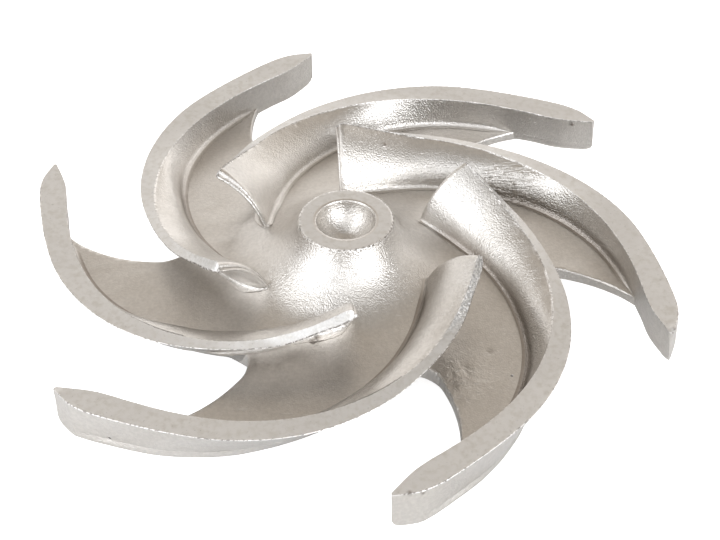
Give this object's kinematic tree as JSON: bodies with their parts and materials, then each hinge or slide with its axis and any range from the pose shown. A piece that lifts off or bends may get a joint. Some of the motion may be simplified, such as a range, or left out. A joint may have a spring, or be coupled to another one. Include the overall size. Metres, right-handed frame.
{
  "type": "open pump impeller",
  "caption": "Open impeller of a centrifugal process pump: twisted, backward-curved vanes on a star-shaped shroud, with a bell-shaped hub and a blind threaded bore.",
  "frame": {"origin": "on the shaft axis at the back face of the hub, which seats against the shoulder of the shaft", "axes": "+Z along the shaft axis towards the eye of the impeller; the clocking of the vanes about Z is as the part lies in the picture"},
  "size_m": [0.2402, 0.2524, 0.0467],
  "materials": {
    "impeller_casting": "cast stainless steel, pickled, with turned faces"
  },
  "bodies": {
    "root": {"impeller_casting": "impeller_casting"}
  },
  "joints": []
}
